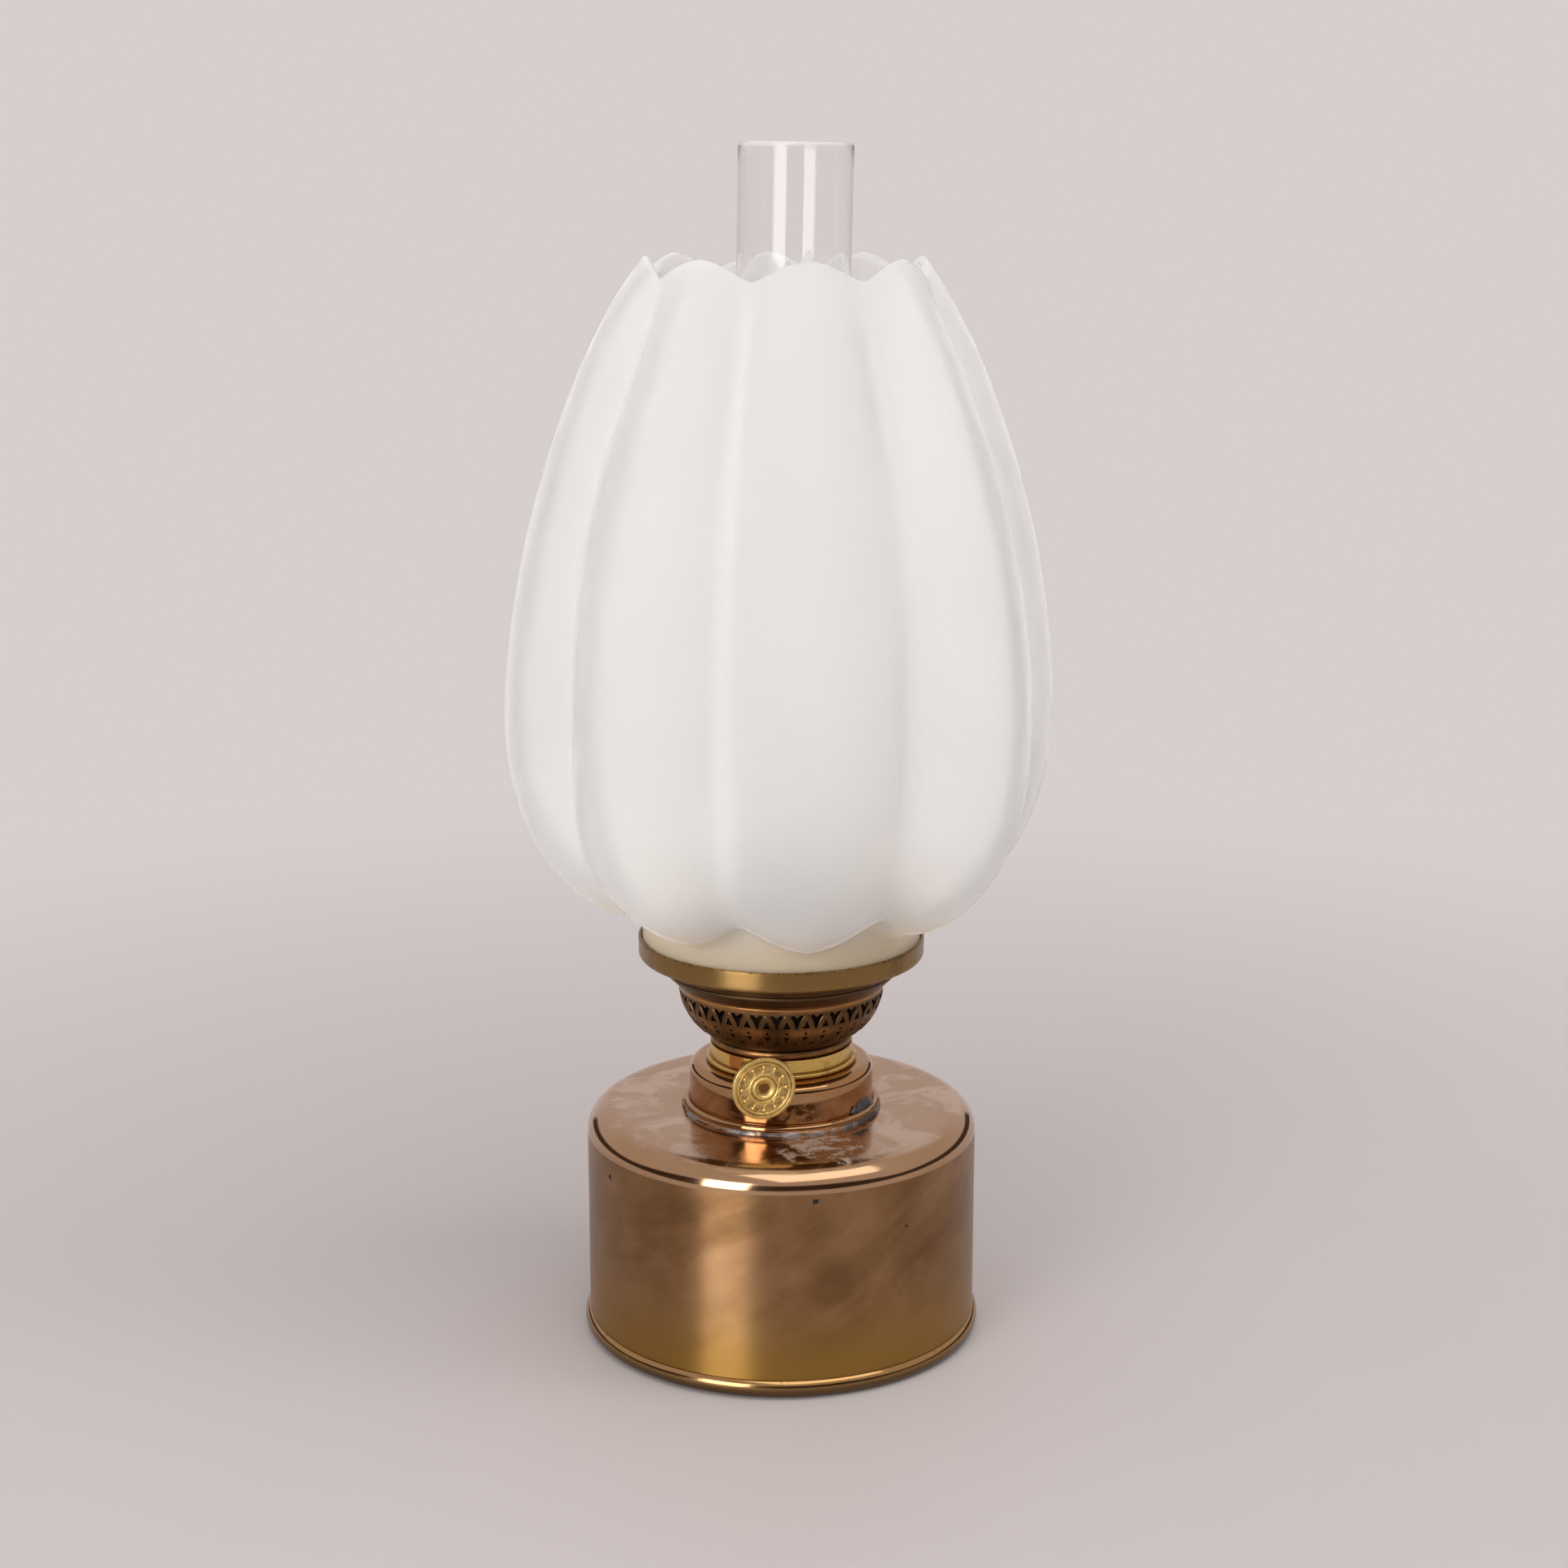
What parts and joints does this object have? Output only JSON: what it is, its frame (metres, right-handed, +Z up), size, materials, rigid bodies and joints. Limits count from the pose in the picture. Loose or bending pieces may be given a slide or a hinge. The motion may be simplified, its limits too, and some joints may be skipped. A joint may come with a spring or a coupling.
{
  "type": "kerosene table lamp",
  "caption": "Kerosene table lamp: drum-shaped copper font, round-wick burner with a front knob, pierced gallery, clear chimney and a lobed frosted glass shade.",
  "frame": {"origin": "centre of the foot ring, on the surface that the lamp stands on", "axes": "+Z up along the lamp's axis, -Y towards the wick knob"},
  "size_m": [0.1655, 0.1656, 0.3608],
  "materials": {
    "font_copper": "polished, worn and stained",
    "foot_brass": "polished",
    "neck_copper": "polished",
    "solder": "dull",
    "inner_brass": "plain",
    "burner_brass": "satin, stained",
    "spindle_brass": "plain",
    "knob_brass": "matt, stamped",
    "wheel_steel": "plain",
    "wick_cotton": "woven",
    "gallery_bronze": "browned",
    "holder_brass": "antique",
    "shade_glass": "satin frosted",
    "chimney_glass": "clear"
  },
  "bodies": {
    "font": {"font_shell": "font_copper", "font_foot": "foot_brass", "font_base": "inner_brass", "neck_collar": "neck_copper", "neck_solder": "solder", "screw_collar": "inner_brass"},
    "burner": {"burner_base": "burner_brass", "burner_floor": "inner_brass", "burner_deck": "inner_brass", "wick_tube": "inner_brass", "air_tube": "inner_brass", "spindle_bush": "burner_brass", "bearing_bracket": "inner_brass"},
    "winder": {"spindle": "spindle_brass", "wick_knob": "knob_brass", "knob_rivet": "spindle_brass", "front_wheel": "wheel_steel", "rear_wheel": "wheel_steel"},
    "wick": {"wick": "wick_cotton"},
    "gallery": {"gallery_basket": "gallery_bronze", "chimney_seat": "inner_brass", "chimney_prongs": "inner_brass", "gallery_rivets": "inner_brass", "holder_ring": "holder_brass", "shade_holder": "holder_brass"},
    "chimney": {"glass_chimney": "chimney_glass"},
    "shade": {"glass_shade": "shade_glass"}
  },
  "joints": [
    {"name": "burner_lift", "type": "slide", "parent": "font", "child": "burner", "axis": [0, 0, 1], "range_m": [0, 0.09]},
    {"name": "knob_turn", "type": "hinge", "parent": "burner", "child": "winder", "pos_m": [-0.0147, 0, 0.0889], "axis": [0, -1, 0], "range_deg": [-161, 107]},
    {"name": "wick_raise", "type": "slide", "parent": "burner", "child": "wick", "axis": [0, 0, 1], "range_m": [-0.009, 0.006]},
    {"name": "gallery_lift", "type": "slide", "parent": "burner", "child": "gallery", "axis": [0, 0, 1], "range_m": [0, 0.07]},
    {"name": "chimney_lift", "type": "slide", "parent": "gallery", "child": "chimney", "axis": [0.0169, -0.0043, 0.9998], "range_m": [0, 0.22]},
    {"name": "shade_lift", "type": "slide", "parent": "gallery", "child": "shade", "axis": [0, 0, 1], "range_m": [0, 0.25]}
  ],
  "couplings": [
    {"joint": "wick_raise", "follows": "knob_turn", "m_per_rad": 0.0032}
  ]
}
